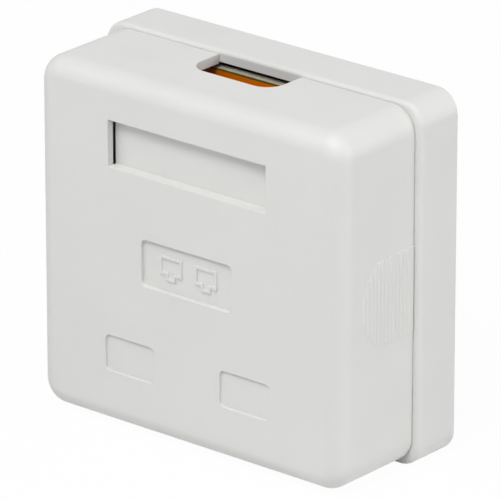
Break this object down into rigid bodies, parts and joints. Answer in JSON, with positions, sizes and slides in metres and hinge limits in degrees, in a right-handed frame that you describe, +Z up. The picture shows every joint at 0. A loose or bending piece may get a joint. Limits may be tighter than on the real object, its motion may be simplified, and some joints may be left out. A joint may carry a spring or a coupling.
{
  "type": "network socket box",
  "caption": "Surface-mounted wall box for network sockets, with pull-off front cover, label window, cable entry on top and modular ports facing down.",
  "frame": {"origin": "centre of the flat back of the base, on the wall", "axes": "+X to the right and +Z up seen from the front, +Y into the wall; the front faces -Y"},
  "size_m": [0.065, 0.0273, 0.0612],
  "materials": {
    "cover_plastic": "fine matt",
    "base_plastic": "fine matt",
    "label_plastic": "smooth matt",
    "board_laminate": "varnished laminate",
    "jack_plastic": "satin",
    "insert_plastic": "satin",
    "contact_gold": "gold flashed",
    "block_plastic": "satin",
    "blade_metal": "tin plated",
    "screw_steel": "zinc plated"
  },
  "bodies": {
    "base": {"base": "base_plastic", "circuit_board": "board_laminate", "board_screws": "screw_steel", "jack_housing_left": "jack_plastic", "jack_insert_left": "insert_plastic", "jack_contact_left_1": "contact_gold", "jack_contact_left_2": "contact_gold", "jack_contact_left_3": "contact_gold", "jack_contact_left_4": "contact_gold", "jack_contact_left_5": "contact_gold", "jack_contact_left_6": "contact_gold", "jack_contact_left_7": "contact_gold", "jack_contact_left_8": "contact_gold", "jack_housing_right": "jack_plastic", "jack_insert_right": "insert_plastic", "jack_contact_right_1": "contact_gold", "jack_contact_right_2": "contact_gold", "jack_contact_right_3": "contact_gold", "jack_contact_right_4": "contact_gold", "jack_contact_right_5": "contact_gold", "jack_contact_right_6": "contact_gold", "jack_contact_right_7": "contact_gold", "jack_contact_right_8": "contact_gold", "idc_block_upper": "block_plastic", "idc_contact_upper_1": "blade_metal", "idc_contact_upper_2": "blade_metal", "idc_contact_upper_3": "blade_metal", "idc_contact_upper_4": "blade_metal", "idc_contact_upper_5": "blade_metal", "idc_contact_upper_6": "blade_metal", "idc_contact_upper_7": "blade_metal", "idc_contact_upper_8": "blade_metal", "idc_block_lower": "block_plastic", "idc_contact_lower_1": "blade_metal", "idc_contact_lower_2": "blade_metal", "idc_contact_lower_3": "blade_metal", "idc_contact_lower_4": "blade_metal", "idc_contact_lower_5": "blade_metal", "idc_contact_lower_6": "blade_metal", "idc_contact_lower_7": "blade_metal", "idc_contact_lower_8": "blade_metal"},
    "cover": {"front_cover": "cover_plastic", "label_plate": "label_plastic"}
  },
  "joints": [
    {"name": "cover_pull", "type": "slide", "parent": "base", "child": "cover", "axis": [0, -1, 0], "range_m": [0, 0.035]}
  ]
}
